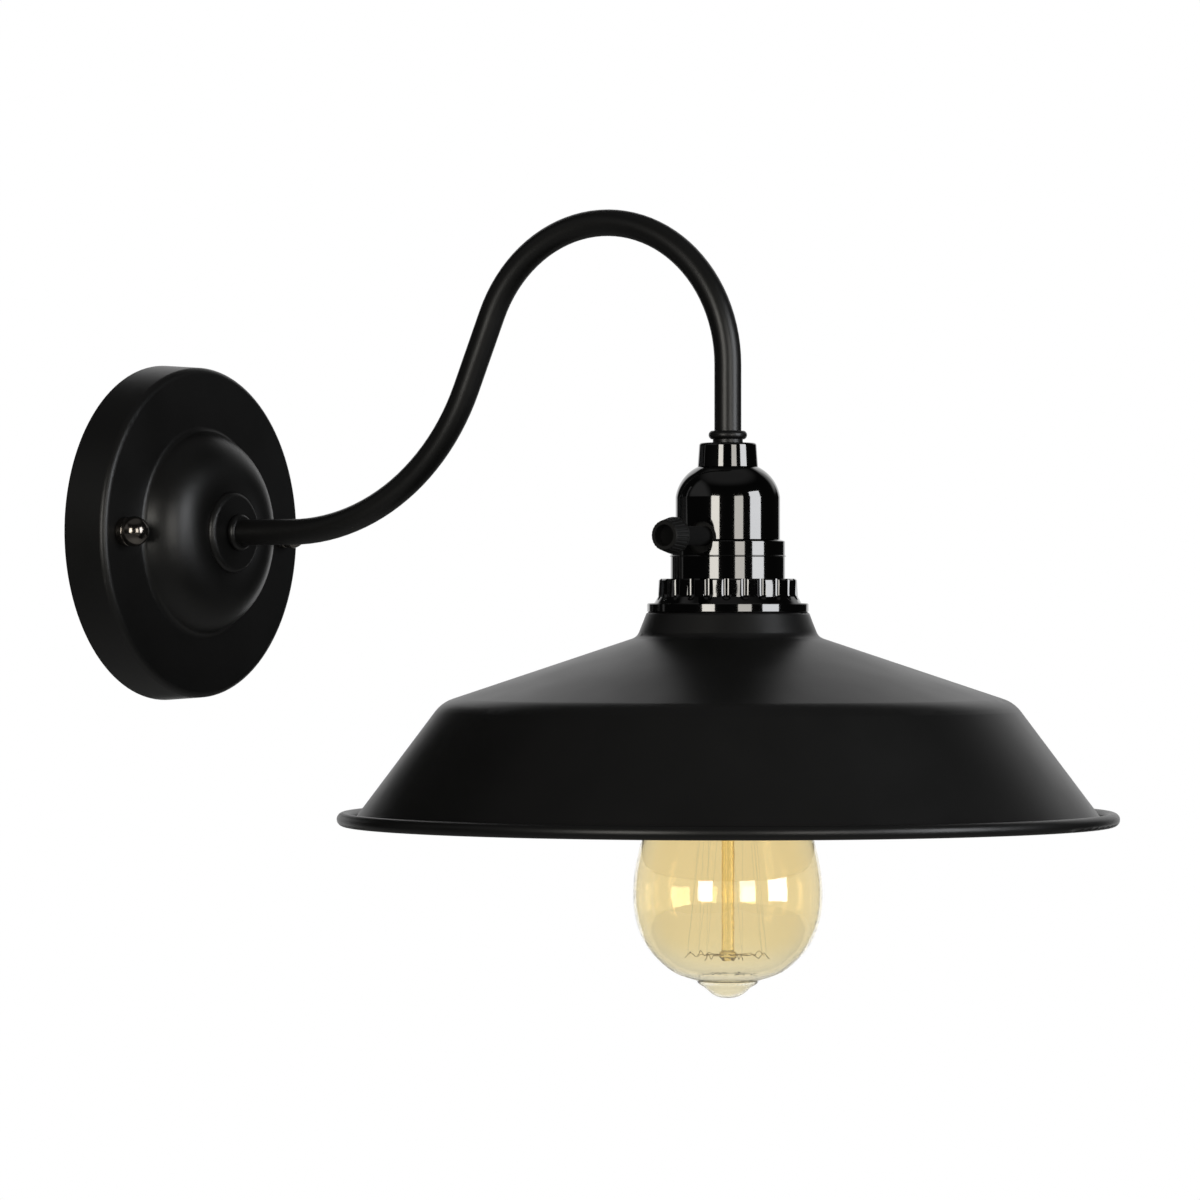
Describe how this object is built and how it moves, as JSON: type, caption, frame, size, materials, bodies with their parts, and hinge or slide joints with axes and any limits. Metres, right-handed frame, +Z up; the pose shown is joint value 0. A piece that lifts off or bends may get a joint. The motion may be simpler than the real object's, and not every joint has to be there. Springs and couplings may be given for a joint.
{
  "type": "gooseneck wall light",
  "caption": "Wall light with a domed round canopy, a bent gooseneck tube, a lampholder with a turn switch, a wide angled shade and a screw-in filament bulb.",
  "frame": {"origin": "centre of the mounting bracket and the canopy, on the wall plane", "axes": "+Y into the wall, so the light stands out along -Y; +Z up; the arm lies in the plane x = 0"},
  "size_m": [0.26, 0.3615, 0.2639],
  "materials": {
    "black_coat": "matte powder coat",
    "black_chrome": "polished black plating",
    "dark_nickel": "polished dark nickel plating",
    "black_knob": "matte moulded",
    "zinc_steel": "zinc plated",
    "brass": "plain",
    "nickel_brass": "nickel plated",
    "white_insulation": "moulded",
    "black_insulation": "moulded",
    "porcelain": "glazed",
    "live_sleeve": "extruded",
    "neutral_sleeve": "extruded",
    "earth_sleeve": "extruded",
    "amber_glass": "clear amber",
    "clear_glass": "clear",
    "black_glass": "vitrified",
    "tin": "soldered",
    "fine_wire": "drawn wire"
  },
  "bodies": {
    "fixture": {"wall_canopy": "black_coat", "mounting_bracket": "zinc_steel", "canopy_studs": "zinc_steel", "stud_lock_nuts": "zinc_steel", "cap_nuts": "dark_nickel", "earth_screw": "brass", "earth_wire": "earth_sleeve", "terminal_block": "white_insulation", "terminal_screws": "zinc_steel", "arm_lock_nut": "zinc_steel", "arm_lock_washer": "zinc_steel", "wall_ferrule": "black_coat", "gooseneck_arm": "black_coat", "socket_ferrule": "black_coat", "live_wire": "live_sleeve", "neutral_wire": "neutral_sleeve", "socket_neck": "black_chrome", "socket_cap": "black_chrome", "socket_shell": "black_chrome", "insulating_liner": "black_insulation", "socket_core": "porcelain", "core_terminal_screws": "brass", "screw_shell": "nickel_brass", "centre_contact": "brass", "switch_housing": "black_insulation", "shade_ring_upper": "black_chrome", "shade_ring_lower": "black_chrome", "shade": "black_coat"},
    "knob": {"switch_knob": "black_knob", "switch_shaft": "black_knob", "switch_cam": "white_insulation"},
    "bulb_contacts": {"bulb_contact": "tin", "bulb_insulator": "black_glass"},
    "bulb": {"bulb_cap": "nickel_brass", "bulb_glass": "amber_glass", "bulb_stem": "clear_glass", "filament_supports": "fine_wire", "filament": "fine_wire", "lead_wires": "fine_wire"}
  },
  "joints": [
    {"name": "knob_turn", "type": "hinge", "parent": "fixture", "child": "knob", "pos_m": [0, -0.2315, -0.0025], "axis": [-1, 0, 0], "continuous": true},
    {"name": "bulb_drop", "type": "slide", "parent": "fixture", "child": "bulb_contacts", "axis": [0, 0, -1], "range_m": [0, 0.01452]},
    {"name": "bulb_turn", "type": "hinge", "parent": "bulb_contacts", "child": "bulb", "pos_m": [0, -0.2315, -0.03], "axis": [0, 0, -1], "range_deg": [0, 1440]}
  ],
  "couplings": [
    {"joint": "bulb_drop", "follows": "bulb_turn", "m_per_rad": 0.00057757}
  ]
}
